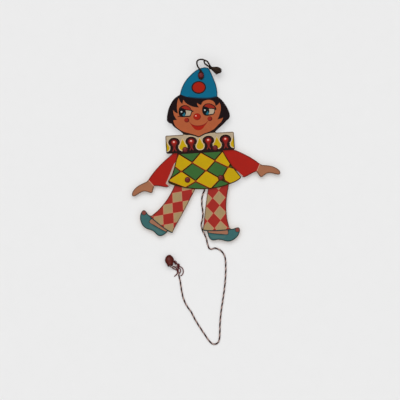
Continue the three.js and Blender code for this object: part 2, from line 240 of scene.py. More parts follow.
def hat_art():
    brim = [(-20, -29.3), (-10, -31.3), (0, -32.2), (10, -32.5), (23, -30.8)]
    yield "hat", outline(brim, [(30, -30)], [(30, 20)], [(-45, 20)], [(-45, -24)], [(-32, -24.2)])
    yield "hat_edge", stroke([(x, z + 0.5) for x, z in brim], 1.3)
    yield "line", disc(-4.2, -16.7, 10.3, 9)
    yield "red", disc(-4.2, -16.6, 8.5, 7.3)


def vase(x, half_width, half_height, neck, tip):
    """A bulb on the collar that narrows upwards to a point."""
    belly = -98.9
    half = [
        (0.4 * neck, tip - 2), (neck, -91.6), (neck + 0.8, -94), (0.9 * half_width, -96.6),
        (half_width, belly), (0.72 * half_width, belly - 0.7 * half_height), (0, belly - half_height),
    ]
    return outline(both_sides(x, half, shared=1) + [(x, tip)])


def collar_art():
    pitch, first = 24, -43.3
    top, bottom = -81.2, -104.6
    yield "collar", [(-60, bottom), (45, bottom), (45, top), (-60, top)]
    yield "line", [(-60, -108), (45, -108), (45, -96.5), (-60, -96.5)]
    for i in range(5):
        x = first + (i - 0.5) * pitch
        yield "cream", vase(x, 6.4, 5.5, 3.1, -86)
        yield "yellow", vase(x, 5.2, 4.4, 2.2, -87)
    for i in range(4):
        x = first + i * pitch
        yield "cream", disc(x, -91.2, 8.7, 7.1)
        yield "line", disc(x, -91.3, 8.2, 6.7)
        foot = both_sides(x, [(4.9, -98.2), (5.8, -101.2), (9.4, -104.8)])
        yield "line", outline([(x + 5.4, -95)], foot[:3], foot[3:4], foot[4:] + [(x - 5.4, -95)])
        yield "maroon", disc(x, -91.6, 5.9, 5.1)
        yield "maroon", stroke([(x, -93), (x, -101)], 4.6)
        yield "stem", stroke([(x, -94.8), (x, -100.8)], 2.6)
        for side in (-1, 1):
            leg = [(0.3, -99), (1.2, -101.6), (2.6, -103.8)]
            yield "stem", stroke([(x + side * across, z) for across, z in leg], 1.4)
        drop = [(1.9, -88.2), (3.9, -90), (4.1, -92.2), (2.7, -95), (1, -98)]
        yield "deep_red", outline(both_sides(x, drop) + [(x, -87.7)])
        yield "red", disc(x, -91.4, 2.9, 2.7)
        yield "rose", disc(x - 0.2, -90.8, 1.7, 1.5)
        yield "white", disc(x - 0.3, -90.6, 0.9, 0.8)


# The torso's lattice of diamonds: the corners where its lines cross, row by row.
LATTICE = {
    "top": [(-37.5, -108.4), (-6.8, -108.2), (23.5, -108.4)],
    "upper": [(-45, -124), (-19.5, -121.2), (12.2, -120.3), (33.5, -125)],
    "middle": [(-35.5, -132.5), (-1, -133.5), (30.3, -130.4)],
    "lower": [(-55, -144.2), (-16.5, -147.3), (17.8, -146)],
    "hem": [(-31.5, -155), (4, -158.8), (33, -154)],
}


def torso_art():
    top, upper, middle = LATTICE["top"], LATTICE["upper"], LATTICE["middle"]
    lower, hem = LATTICE["lower"], LATTICE["hem"]
    yield "green", [(-60, -170), (52, -170), (52, -107.4), (-60, -107.4)]
    dark_lines = [
        [top[0], upper[1]],
        [middle[1], lower[2], hem[2]],
        [top[1], upper[2]],
        [middle[2], (41, -136.5)],
        [middle[0], lower[1]],
        [lower[0], hem[0], (-20, -162)],
        [top[1], upper[1], middle[0], lower[0]],
        [top[2], upper[2], middle[1], lower[1]],
        [upper[3], middle[2], (23.2, -141.5), lower[2], hem[1]],
        [(23.2, -141.5), (24.6, -148.2)],
    ]
    red_lines = [
        [upper[1], middle[1]],
        [upper[2], middle[2]],
        [upper[0], middle[0]],
        [lower[1], hem[1]],
        [lower[1], hem[0]],
        [top[0], upper[0]],
        [(24.6, -148.2), hem[2]],
    ]
    for color, lines in (("torso_line", dark_lines), ("red_line", red_lines)):
        for line in lines:
            for a, b in zip(line, line[1:]):
                yield color, stroke([a, b], 3, 1, 1)
    cells = [
        [top[0], upper[1], middle[0], upper[0]],
        [top[1], upper[2], middle[1], upper[1]],
        [top[2], upper[3], middle[2], upper[2]],
        [middle[0], lower[1], hem[0], lower[0]],
        [middle[1], lower[2], hem[1], lower[1]],
        [middle[2], (41, -134), (48.5, -145.5), hem[2], (24.6, -148.2), (23.2, -141.5)],
    ]
    for cell in cells:
        corners = anticlockwise(cell)
        yield "orange", shrunk(corners, 0.3)
        yield "yellow", shrunk(corners, 0.85)
    for x, z in (*upper[1:3], *middle, lower[1]):
        yield "crossing", disc(x, z, 1.5, sides=12)
    # A dark line along the hem: partly the printed outline, partly painted shade of the board's lower edge.
    hem_outline_and_shade = [
        (-54, -147.2), (-46, -151), (-30, -155.5), (-12, -158.4), (3, -158.6), (20, -156.6), (36, -152),
    ]
    yield "torso_line", stroke(hem_outline_and_shade, 1.5, 1, 1)
    yield "torso_line", stroke([(32.9, -126), (37.6, -132.2)], 2.9, 1, 1)
    yield "nib", disc(35.4, -129.4, 0.7, sides=12)
    yield "line", [(-60, -108.3), (45, -108.3), (45, -106), (-60, -106)]


def skin_outline():
    return outline(
        # Left cheek, jaw and chin.
        [(-42.7, -60.5)],
        [
            (-41.2, -66), (-38.9, -70), (-34.2, -74), (-29.6, -76.9), (-25, -78.7), (-20, -80.3), (-15, -82),
            (-8.2, -84.9),
        ],
        [
            (-4.6, -83.3), (0, -81.2), (5, -79.8), (10, -77.9), (15, -74.9), (20, -70.2), (24.4, -66.4),
            (27.4, -61),
        ],
        # Right temple, with the hair's tips.
        [(23.5, -62.2), (19.2, -62.9)],
        [(21.8, -58), (24.2, -51.5), (25, -45), (23.6, -39.4)],
        [(21.5, -41.8), (17.8, -44)],
        # Forehead.
        [(17, -40), (14.8, -37), (11.5, -35.3), (8, -34.8), (4, -35.4), (0, -37.2), (-2.3, -41.2)],
        [(-5, -40.4), (-8, -38)],
        [(-7.7, -41), (-5.4, -44.7)],
        [(-10, -44.1), (-15, -42.6), (-20, -40), (-24, -36.6), (-26.7, -32.6)],
        [(-28.4, -38.4)],
        [(-31, -35.4), (-33.3, -29.8)],
        # Left temple.
        [(-35, -34), (-36, -40), (-36.3, -46), (-35.4, -51.2)],
        [(-38.8, -49.6), (-42, -46.2)],
        [(-41.7, -50.4), (-40.8, -54.2), (-37.6, -60)],
    )


def eye_art(x, light_z, surround, lid, white):
    """An eye whose iris is centred on x: dark surround, red lid, the white, then the iris and its lights."""
    yield "line", outline(*surround)
    yield "lid", outline(*lid)
    yield "sclera", outline(*white)
    yield "iris", disc(x, -50.4, 4.7, 6)
    yield "iris_blue", disc(x + 1.5, -52.9, 2.0, 2.6)
    yield "iris", disc(x - 0.2, -50.6, 1.7, 2.3)
    yield "eye_light", disc(x - 1.6, light_z, 1.25, 1.15)


def face_art():
    yield "line", outline(
        [
            (-29, -80.8), (-20, -82.6), (-14, -84.2), (-8.4, -86.4), (-3, -84.3), (1, -82.6), (8, -81.3),
            (17, -79.4),
        ],
        [(10, -70)],
        [(-34, -70)],
    )
    yield "skin", skin_outline()
    yield "line", stroke([(-36, -55.5), (-33, -55.7), (-29, -56.4)], 1.1)
    yield from eye_art(
        -28.7,
        -49.2,
        [
            [(-34, -53), (-32.6, -55.6), (-29.6, -56.8)],
            [(-24, -56.9), (-18.6, -56.8)],
            [(-17, -54.4), (-15.9, -50.8)],
            [(-12.8, -49.7)],
            [
                (-15.8, -47.4), (-18.2, -43.8), (-21.6, -41.1), (-25.6, -40.2), (-30, -41.3), (-33.4, -44.4),
                (-34.5, -49.5),
            ],
        ],
        [
            [(-26, -41.3), (-22, -42.1), (-18.4, -44.9), (-16.6, -47.4)],
            [(-20.5, -47), (-25, -45.9), (-30.2, -43.4)],
        ],
        [[(-25.5, -47.4)], [(-21, -48), (-16.6, -49)], [(-17.6, -52.5), (-19.3, -55.2)], [(-26, -55.2)]],
    )
    yield from eye_art(
        4,
        -48.8,
        [
            [(-0.6, -53.4), (1.4, -56), (5, -57)],
            [(10, -56.6), (14.6, -55.6)],
            [(16.2, -53), (16.4, -50.2)],
            [(18.8, -49)],
            [
                (18.3, -46.4), (16.4, -43.6), (13, -41.1), (9, -39.8), (5, -40), (1.4, -41.8), (-0.9, -45.4),
                (-1.5, -50),
            ],
        ],
        [
            [(4.8, -41.1), (9, -40.9), (13, -42.5), (16, -45.2), (16.6, -47)],
            [(12.4, -46.8), (7.6, -46), (1.8, -43.2)],
        ],
        [[(8, -47.4)], [(12, -47.8), (15.6, -48.4)], [(15.4, -51.6), (13.6, -54.7)], [(7, -55)]],
    )
    yield "deep_red", disc(-8.9, -57.4, 5.3, 4.8)
    yield "red", disc(-9.3, -57.1, 4.6, 4.1)
    yield "rose", disc(-10.5, -56.2, 1.3, 1.0)
    yield "white", disc(-10.7, -56, 0.6, 0.5)
    for x in (-24, 8.4):
        yield "dark_red", disc(x + 0.3, -61.3, 3.5, 3.2)
        yield "lid", disc(x - 0.3, -61, 2.7, 2.5)
    yield "red", outline(
        [(-18.2, -66.6), (-14, -69), (-8, -69.9), (-1, -69), (3, -66.7), (6.8, -63.2)],
        [
            (3.4, -68), (0.2, -71.6), (-2.4, -74.6), (-6, -76.3), (-10, -76.2), (-13.2, -74.6), (-16.2, -71),
            (-20.8, -63.2),
        ],
    )
    smile = [(-20.8, -63.4), (-17.8, -67), (-14, -69.4), (-8, -70.4), (-1, -69.5), (3, -67.2), (6.8, -63.4)]
    yield "deep_red", stroke(smile, 1.3, 0.3, 0.3)


def body_art():
    yield from hat_art()
    yield from collar_art()
    yield from torso_art()
    yield from face_art()


# ---------------------------------------------------------------- artwork of the limbs, drawn for the right


def arm_art(side):
    cuff = 66.4
    yield "hand", [(cuff, -40), (120, -40), (120, 20), (cuff, 20)]
    yield "sleeve", [(-30, -40), (cuff, -40), (cuff, 20), (-30, 20)]
    yield "cuff", [(cuff - 0.3, -40), (cuff + 0.4, -40), (cuff + 0.4, 20), (cuff - 0.3, 20)]
    if side == "left":
        edge = [(51.7, -17.3), (43.4, -13.6), (34.5, -9.2), (24.6, -4.4), (14, -2.5), (-30, 12)]
        yield "pale_bare", [(-30, -40), (48, -40), (50.5, -24), *edge]
    else:
        yield "pale_bare", [(-30, -40), (50.7, -40), (50.7, -21.9), (-30, 7)]


def diamond(x, z, across, up):
    return [(x - across, z), (x, z - up), (x + across, z), (x, z + up)]


def leg_art():
    yield "trouser", [(-40, -95), (30, -95), (30, 20), (-40, 20)]
    for column in range(3):
        for row in range(4):
            x, z = -22.25 + 18.5 * column, -6.75 - 21 * row
            yield "diamond_rim", diamond(x, z, 9.0, 10.3)
            yield "bare", diamond(x, z, 8.0, 9.2)
    hem = [(-22, -71.9), (-14, -72.4), (-4, -72.5), (9.5, -72.2)]
    yield "shoe_edge", outline(hem, [(26, -66)], [(30, -95)], [(-30, -95)], [(-31, -70)])
    yield "foot", outline(
        [(-9, -74.2), (5.4, -73.9)], [(5, -79), (-4, -78.2), (-14, -76.9), (-21.4, -75.3)], [(-21.8, -73.5)]
    )
    yield "shoe", outline(
        [(-21, -76.4), (-14, -78), (-4, -79.4), (5.8, -80.2)],
        [(6.8, -73.9)],
        [(12, -72.9), (17, -69), (26, -67)],
        [(30, -95)],
        [(-30, -95)],
        [(-26, -75.4)],
    )
    gleam = [(-14, -79.8), (-4, -81), (2, -81.6), (0, -84.4), (-8, -83.6), (-16, -83.6), (-20, -79.4)]
    yield "shoe_light", outline(gleam)
    yield "shoe_edge", disc(19, -74.1, 3.5)
    yield "toe", disc(19, -74, 2.7)


# ---------------------------------------------------------------- boards

BOARD_THICKNESS = 4
EDGE_ROUND = 0.55
# Width of the darker edge band, which is printed outline and painted shade together.
EDGE_OUTLINE_SHADE_BAND = 0.75
CURVE_BEND_DEGREES = 28
LONG_EDGE = 1.2
SAME_DEPTH = 1e-6
WOOD, PLY, BACK = range(3)


def front_loops(node):
    """A board's front outlines in millimetres, with material on their left, and its front and back y."""
    mesh = node.data
    depths = [vertex.co.y for vertex in mesh.vertices]
    front, back = min(depths), max(depths)
    mesh.calc_loop_triangles()
    place = {}
    following = {}
    for triangle in mesh.loop_triangles:
        corners = [mesh.vertices[i].co for i in triangle.vertices]
        if max(corner.y for corner in corners) - front > SAME_DEPTH:
            continue
        keys = [(round(corner.x * 1e6), round(corner.z * 1e6)) for corner in corners]
        for key, corner in zip(keys, corners):
            place[key] = np.array((corner.x, corner.z)) / MM
        for a, b in zip(keys, keys[1:] + keys[:1]):
            following[a, b] = True
    border = {a: b for a, b in following if (b, a) not in following}
    loops = []
    while border:
        start, here = border.popitem()
        loop = [place[start]]
        while here != start:
            loop.append(place[here])
            here = border.pop(here)
        loops.append(loop)
    return loops, front / MM, back / MM


def turn_at(a, b, c):
    first, second = b - a, c - b
    bend = math.atan2(first[0] * second[1] - first[1] * second[0], float(first @ second))
    return abs(math.degrees(bend))


def rounded(loop):
    """The loop with a point added halfway along each long edge that is part of a curve."""
    count = len(loop)
    result = []
    for i in range(count):
        a, b, c, d = (loop[(i + k) % count] for k in (-1, 0, 1, 2))
        result.append(b)
        bend = max(turn_at(a, b, c), turn_at(b, c, d))
        if bend < CURVE_BEND_DEGREES and np.linalg.norm(c - b) > LONG_EDGE:
            result.append((9 * (b + c) - a - d) / 16)
    return result


class Placing:
    """How a limb that is drawn level for the right side lies on the puppet: pivot, turn and side."""

    def __init__(self, pivot=(0, 0), turn=0.0, side=1):
        self.pivot = np.array(pivot, float)
        self.turn = turn
        self.side = side

    def to_puppet(self, point):
        x, z = self.side * point[0], point[1]
        c, s = math.cos(self.turn), math.sin(self.turn)
        return self.pivot + np.array((x * c + z * s, z * c - x * s))

    def to_drawing(self, point):
        x, z = np.array(point) - self.pivot
        c, s = math.cos(self.turn), math.sin(self.turn)
        return np.array((self.side * (x * c - z * s), x * s + z * c))


def printed_faces(loops, art):
    """The board's face cut along the artwork: points, triangles, and each triangle's ink."""
    points, faces = [], []

    def add(loop):
        start = len(points)
        points.extend(Vector(point) for point in anticlockwise(loop))
        faces.append(list(range(start, len(points))))

    insets = [shrunk(loop, EDGE_ROUND) for loop in loops]
    outer = max(range(len(loops)), key=lambda i: abs(area(loops[i])))
    add(insets[outer])
    # Inner rim of the band that gets the darker edge ink: printed outline and painted shade.
    add(shrunk(loops[outer], EDGE_ROUND + EDGE_OUTLINE_SHADE_BAND))
    inks = []
    for ink, loop in art:
        inks.append(ink)
        add(loop)
    first_hole = len(faces)
    for i, inset in enumerate(insets):
        if i != outer:
            add(inset)
    spots, _, triangles, _, _, owners = delaunay_2d_cdt(points, [], faces, 1, 1e-4)
    kept, colors = [], []
    for triangle, owner in zip(triangles, owners):
        if 0 not in owner or max(owner) >= first_hole:
            continue
        top = max((i for i in owner if i > 1), default=None)
        ink = inks[top - 2] if top else "hair"
        # Inside the edge band the ink turns darker: partly printed outline, partly painted shade of the edge.
        if 1 not in owner:
            ink = EDGE_OUTLINE_AND_SHADE.get(ink, ink)
        kept.append(triangle)
        colors.append(ink)
    return spots, kept, colors, insets


def nearest_on(loop, point):
    """Index and share of the nearest place on a closed loop, and its distance."""
    starts = np.array(loop)
    spans = np.roll(starts, -1, axis=0) - starts
    share = np.clip(np.sum((point - starts) * spans, axis=1) / np.sum(spans * spans, axis=1), 0, 1)
    gaps = np.linalg.norm(starts + spans * share[:, None] - point, axis=1)
    i = int(np.argmin(gaps))
    return i, share[i], gaps[i]


def edge_profile(front, back):
    """How a board's edge runs from front to back: outward share, y, and the normal's outward and y parts."""
    quarter = [math.radians(22.5 * k) for k in range(1, 5)]
    rows = []
    for face, way, angles in ((front, 1, quarter), (back, -1, quarter[::-1])):
        for angle in angles:
            out, inward = math.sin(angle), math.cos(angle)
            rows.append((out, face + way * EDGE_ROUND * (1 - inward), out, -way * inward))
    return rows


def board_mesh(name, node, art, placing, grain_along_x):
    world_loops, front, back = front_loops(node)
    loops = []
    for loop in world_loops:
        drawn = [placing.to_drawing(point) for point in rounded(loop)]
        loops.append(drawn if placing.side > 0 else drawn[::-1])
    spots, triangles, inks, insets = printed_faces(loops, art)
    used = sorted({i for triangle in triangles for i in triangle})
    number = {old: new for new, old in enumerate(used)}
    flat = [np.array(spots[i]) for i in used]
    triangles = [[number[i] for i in triangle] for triangle in triangles]
    count = len(flat)

    directed = {}
    for ink, triangle in zip(inks, triangles):
        for a, b in zip(triangle, triangle[1:] + triangle[:1]):
            directed[a, b] = ink
    border = {(a, b): ink for (a, b), ink in directed.items() if (b, a) not in directed}

    verts = [(*point, front) for point in flat] + [(*point, back) for point in flat]
    normals = [(0, 0, -1)] * count + [(0, 0, 1)] * count
    faces = [list(triangle) for triangle in triangles]
    kinds = [WOOD] * len(triangles)
    paints = list(inks)
    for triangle in triangles:
        faces.append([i + count for i in reversed(triangle)])
        kinds.append(BACK)
        paints.append("bare")

    rows = edge_profile(front, back)
    ring = {}
    for a, _ in border:
        choices = [(*nearest_on(inset, flat[a]), k) for k, inset in enumerate(insets)]
        i, share, _, k = min(choices, key=lambda choice: choice[2])
        rim, after = np.array(loops[k][i]), np.array(loops[k][(i + 1) % len(loops[k])])
        reach = rim + (after - rim) * share - flat[a]
        out = reach / np.linalg.norm(reach)
        start = len(verts)
        for share_out, y, part_out, part_y in rows:
            verts.append((*(flat[a] + reach * share_out), y))
            normals.append((*(out * part_out), part_y))
        ring[a] = [a, *range(start, start + len(rows)), a + count]
    for (a, b), ink in border.items():
        for k in range(len(rows) + 1):
            faces.append([ring[a][k], ring[a][k + 1], ring[b][k + 1], ring[b][k]])
            front_half = k < 2
            kinds.append(WOOD if front_half else PLY)
            paints.append(ink if front_half else "bare")

    def in_puppet(x, z, y):
        px, pz = placing.to_puppet((x, z))
        return px, y, pz

    world = [Vector(in_puppet(*vert)) * MM for vert in verts]
    straight = Placing(turn=placing.turn, side=placing.side)
    world_normals = []
    for x, z, y in normals:
        nx, nz = straight.to_puppet((x, z))
        world_normals.append((nx, y, nz))
    if winding_is_wrong(world, faces[0]):
        faces = [face[::-1] for face in faces]
    mesh = bpy.data.meshes.new(name)
    mesh.from_pydata(world, [], faces)
    mesh.polygons.foreach_set("use_smooth", [True] * len(faces))
    mesh.polygons.foreach_set("material_index", kinds)
    grain = mesh.attributes.new("grain", "FLOAT_VECTOR", "POINT")
    ordered = [((x, y - front, z) if grain_along_x else (z, y - front, x)) for x, z, y in verts]
    grain.data.foreach_set("vector", np.array(ordered, np.float32).ravel())
    ink_layer = mesh.color_attributes.new("ink", "FLOAT_COLOR", "CORNER")
    values = []
    for face, paint in zip(faces, paints):
        red, green, blue, _ = linear(INKS[paint])
        values += [(red, green, blue, 0.0 if paint in UNPRINTED else 1.0)] * len(face)
    ink_layer.data.foreach_set("color", np.array(values, np.float32).ravel())
    mesh.validate()
    mesh.normals_split_custom_set_from_vertices(world_normals)
    return mesh


def winding_is_wrong(verts, face):
    """True if this front face would look away from the viewer."""
    a, b, c = (verts[i] for i in face)
    return (b - a).cross(c - a).y > 0


def body_of(node):
    bodies = frame["record"]["behaviour"]["bodies"]
    return next(body for body, nodes in bodies.items() if node in nodes)


def add_piece(name, mesh, node, materials):
    """Puts a finished mesh in the scene. It stands for a CAD node and rides on that node's body."""
    piece = bpy.data.objects.new(name, mesh)
    bpy.context.scene.collection.objects.link(piece)
    for material in materials:
        mesh.materials.append(material)
    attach(piece, body_of(node))
    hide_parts(node)
    return piece


# ---------------------------------------------------------------- materials


class Nodes:
    """A node tree, put together node by node."""

    def __init__(self, tree):
        self.tree = tree

    def feed(self, socket, value):
        if isinstance(value, bpy.types.NodeSocket):
            self.tree.links.new(value, socket)
        elif socket.type == "VECTOR":
            socket.default_value = value[:3]
        else:
            socket.default_value = value

    def add(self, kind, inputs, **settings):
        node = self.tree.nodes.new("ShaderNode" + kind)
        for key, value in settings.items():
            setattr(node, key, value)
        for key, value in inputs.items():
            self.feed(node.inputs[key], value)
        return node

    def attribute(self, name, output="Vector"):
        return self.add("Attribute", {}, attribute_name=name).outputs[output]

    def math(self, operation, a, b=0.0):
        return self.add("Math", {0: a, 1: b}, operation=operation).outputs[0]

    def stretch(self, vector, scale):
        return self.add("Mapping", {"Vector": vector, "Scale": scale}).outputs[0]

    def noise(self, vector, scale, detail=3.0, roughness=0.5):
        inputs = {"Vector": vector, "Scale": scale, "Detail": detail, "Roughness": roughness}
        return self.add("TexNoise", inputs).outputs["Fac"]

    def remap(self, value, low, high, to_low, to_high):
        inputs = {"Value": value, "From Min": low, "From Max": high, "To Min": to_low, "To Max": to_high}
        return self.add("MapRange", inputs).outputs[0]

    def mix(self, factor, a, b, blend="MIX"):
        return self.add("Mix", {0: factor, 6: a, 7: b}, data_type="RGBA", blend_type=blend).outputs[2]

    def shade(self, color, *factors):
        """The colour times each of the given factors."""
        for factor in factors:
            color = self.add("VectorMath", {0: color, 3: factor}, operation="SCALE").outputs[0]
        return color

    def ramp(self, value, stops, interpolation="LINEAR"):
        node = self.add("ValToRGB", {"Fac": value})
        ramp = node.color_ramp
        ramp.interpolation = interpolation
        while len(ramp.elements) < len(stops):
            ramp.elements.new(0.5)
        for element, (position, color) in zip(ramp.elements, stops):
            element.position = position
            element.color = linear(color)
        return node.outputs["Color"]


class Shader(Nodes):
    """A procedural material."""

    def __init__(self, name):
        self.material = bpy.data.materials.new(name)
        self.material.use_nodes = True
        super().__init__(self.material.node_tree)
        self.surface = self.tree.nodes["Principled BSDF"]

    def bump(self, height, depth_mm, strength=1.0):
        inputs = {"Height": height, "Distance": depth_mm * MM, "Strength": strength}
        self.feed(self.surface.inputs["Normal"], self.add("Bump", inputs).outputs[0])

    def finish(self, color, roughness, coat=0.0, coat_roughness=0.3, specular=0.5):
        for key, value in {
            "Base Color": color,
            "Roughness": roughness,
            "Coat Weight": coat,
            "Coat Roughness": coat_roughness,
            "Specular IOR Level": specular,
        }.items():
            self.feed(self.surface.inputs[key], value)
        return self.material


def printed_wood():
    """Printed ink under thin varnish on plywood. Unprinted places, alpha 0 in the ink, show the veneer."""
    s = Shader("printed_plywood")
    ink = s.attribute("ink", "Color")
    printed = s.attribute("ink", "Alpha")
    grain = s.attribute("grain")
    fibres = s.noise(s.stretch(grain, (0.05, 1, 1.5)), 1.3, 4, 0.6)
    pores = s.noise(s.stretch(grain, (0.12, 1, 2.6)), 2.2, 2, 0.5)
    speckle = s.noise(grain, 2.6, 3, 0.6)
    blotch = s.noise(grain, 0.07, 3, 0.5)
    fibre_depth = s.remap(printed, 0, 1, 0.5, 0.13)
    fibre_tone = s.math("ADD", s.math("MULTIPLY", s.math("SUBTRACT", fibres, 0.5), fibre_depth), 1.0)
    speckle_tone = s.remap(speckle, 0.3, 0.7, 0.94, 1.06)
    blotch_tone = s.remap(blotch, 0.3, 0.7, 0.95, 1.05)
    toned = s.shade(ink, fibre_tone, speckle_tone, blotch_tone)
    flecks = s.remap(speckle, 0.71, 0.76, 0, 0.5)
    worn = s.mix(flecks, toned, linear((190, 160, 122)))
    pore_marks = s.remap(pores, 0.66, 0.74, 0, 0.4)
    color = s.mix(pore_marks, worn, s.shade(toned, 0.72))
    roughness = s.remap(blotch, 0.3, 0.7, 0.56, 0.7)
    s.bump(s.math("ADD", fibres, s.math("MULTIPLY", speckle, 0.4)), 0.05, 0.6)
    return s.finish(color, roughness, coat=0.03, coat_roughness=0.3, specular=0.16)


def ply_edge():
    """The sawn edge of three plies: face veneers, a darker core, thin glue lines, brown with age."""
    s = Shader("plywood_edge")
    grain = s.attribute("grain")
    _, depth, _ = s.add("SeparateXYZ", {"Vector": grain}).outputs
    wobble = s.remap(s.noise(grain, 0.5, 2), 0.3, 0.7, -0.12, 0.12)
    plies = s.math("DIVIDE", s.math("ADD", depth, wobble), BOARD_THICKNESS)
    front_ply = [(0.0, (92, 64, 42)), (0.30, (86, 60, 38)), (0.325, (42, 27, 19))]
    core = [(0.35, (62, 42, 29)), (0.65, (60, 40, 27))]
    back_ply = [(0.675, (40, 26, 18)), (0.70, (88, 62, 40)), (1.0, (84, 60, 42))]
    layers = s.ramp(plies, front_ply + core + back_ply)
    burr = s.noise(s.stretch(grain, (1, 0.25, 1)), 2.4, 4, 0.65)
    grime = s.noise(grain, 0.22, 3)
    color = s.shade(layers, s.remap(burr, 0.3, 0.7, 0.72, 1.18), s.remap(grime, 0.3, 0.7, 0.78, 1.05))
    s.bump(burr, 0.18, 0.8)
    return s.finish(color, s.remap(grime, 0.3, 0.7, 0.68, 0.85), specular=0.25)


def plywood_back():
    """The bare rear veneer, rotary cut: long wavy figure, fine pores and a few stains."""
    s = Shader("bare_plywood_back")
    grain = s.attribute("grain")
    warp = s.noise(s.stretch(grain, (0.02, 1, 0.09)), 1.0, 2)
    sway = s.add("CombineXYZ", {"Z": s.remap(warp, 0, 1, -9, 9)}).outputs[0]
    bent = s.add("VectorMath", {0: grain, 1: sway})
    figure = s.noise(s.stretch(bent.outputs[0], (0.012, 1, 0.42)), 1.0, 3, 0.55)
    pores = s.noise(s.stretch(grain, (0.12, 1, 2.4)), 1.8, 3, 0.6)
    stain = s.noise(grain, 0.035, 3)
    color = s.ramp(figure, [(0.32, (150, 112, 72)), (0.48, (181, 142, 98)), (0.66, (196, 160, 116))])
    pore_tone = s.remap(pores, 0.4, 0.72, 1.05, 0.72)
    color = s.shade(color, pore_tone, s.remap(stain, 0.3, 0.7, 0.86, 1.06))
    s.bump(s.math("SUBTRACT", figure, s.math("MULTIPLY", pores, 0.7)), 0.09, 0.7)
    return s.finish(color, s.remap(pores, 0.3, 0.7, 0.62, 0.78), specular=0.3)


board_materials = [printed_wood(), ply_edge(), plywood_back()]


def box_middle(node):
    low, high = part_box(node)
    return (low + high) / 2 / MM


def joint_named(name):
    return next(joint for joint in frame["joints"] if joint["name"] == name)


def limb_placing(limb, side, lever_angle):
    """Where a limb lies at rest, from its pivot and from the way its lever points."""
    sign = 1 if side == "right" else -1
    x, _, z = (value / MM for value in joint_named(f"{limb}_{side}_swing")["pos_m"])
    lever = box_middle(f"lever_knot_{limb}_{side}")
    seen = math.atan2(lever.z - z, lever.x - x)
    drawn = math.atan2(math.sin(lever_angle), sign * math.cos(lever_angle))
    return Placing((x, z), drawn - seen, sign)


def add_boards():
    mesh = board_mesh("printed_body_board", frame["nodes"]["body_board"], body_art(), Placing(), False)
    body = add_piece("printed_body_board", mesh, "body_board", board_materials)
    # Its print would tint the wall's soft shadows pink.
    body.visible_diffuse = False
    limbs = {
        "arm": (arm_art, math.radians(180), True),
        "leg": (leg_art, math.radians(145), False),
    }
    for limb, (art, lever_angle, grain_along_x) in limbs.items():
        for side in ("left", "right"):
            placing = limb_placing(limb, side, lever_angle)
            node = frame["nodes"][f"{limb}_{side}"]
            name = f"printed_{limb}_{side}"
            mesh = board_mesh(name, node, art(side) if limb == "arm" else art(), placing, grain_along_x)
            add_piece(name, mesh, f"{limb}_{side}", board_materials)


add_boards()

# ---------------------------------------------------------------- turned pieces


def turned_mesh(name, profile, matrix, segments=56):
    """A surface turned about its Y axis from (radius, y) points in millimetres, then carried to its place."""
    verts, faces, rings = [], [], []
    for radius, y in profile:
        start = len(verts)
        if radius < 1e-6:
            verts.append((0, y, 0))
            rings.append([start] * segments)
            continue
        for k in range(segments):
            angle = 2 * math.pi * k / segments
            verts.append((radius * math.cos(angle), y, radius * math.sin(angle)))
        rings.append(list(range(start, start + segments)))
    for near, far in zip(rings, rings[1:]):
        for k in range(segments):
            n = (k + 1) % segments
            faces.append(list(dict.fromkeys([near[k], near[n], far[n], far[k]])))
    mesh = bpy.data.meshes.new(name)
    mesh.from_pydata(verts, [], faces)
    turning = mesh.attributes.new("turning", "FLOAT_VECTOR", "POINT")
    turning.data.foreach_set("vector", np.array(verts, np.float32).ravel())
    mesh.polygons.foreach_set("use_smooth", [True] * len(faces))
    mesh.transform(matrix @ Matrix.Scale(MM, 4))
    mesh.validate()
    mesh.set_sharp_from_angle(angle=math.radians(40))
    return mesh


def profile_of(start, *runs, step=0.25):
    """Profile points from smooth runs that meet at corners, each run starting where the last one ended."""
    points = [np.array(start, float)]
    for run in runs:
        points += smooth([points[-1], *run], step)[1:]
    return points


def peg_profile(front, neck, end):
    """A domed head with a rounded rim, a plain shank behind it."""
    rise = [(1.3, 0.05), (2.5, 0.32), (3.3, 0.84), (3.82, 1.45), (4, 1.95)]
    dome = [(radius, front + y) for radius, y in rise]
    rim = [(3.93, neck - 0.12), (3.7, neck)]
    shank = 1.8
    return profile_of((0, front), dome + rim, [(shank, neck)], [(shank, end)], [(0, end)])


def cap_profile(front, bore_end, back):
    """A short round cap with a blind bore and eased corners."""
    bore, radius, ease = 1.9, 4.5, 0.55
    front_corner = [(radius - 0.3 * ease, front + 0.3 * ease), (radius, front + ease)]
    back_corner = [(radius - 0.3 * ease, back - 0.3 * ease), (radius - ease, back)]
    return profile_of(
        (0, bore_end),
        [(bore, bore_end)],
        [(bore, front)],
        [(radius - ease, front)],
        front_corner,
        [(radius - 0.12, (front + back) / 2), (radius, back - ease)],
        back_corner,
        [(0, back)],
    )


def bead_profile(half):
    """A barrel that is full near its top, with a narrow flat foot and a bore from end to end."""
    bore = 1.45
    foot = [(radius, -half + y) for radius, y in ((3.95, 0.25), (4.1, 0.8))]
    rise = [(4.2, 1.7), (4.9, 3.6), (5.95, 6.2), (6.28, 8.6), (5.8, 11)]
    belly = [(radius, -half + y) for radius, y in rise]
    shoulder = [(4.6, half - 2.4), (2.9, half - 0.75), (1.9, half - 0.2), (bore, half - 0.35)]
    rim = (bore, -half + 0.3)
    return profile_of(rim, [(1.7, -half), (3.6, -half)], foot, belly + shoulder, [rim])


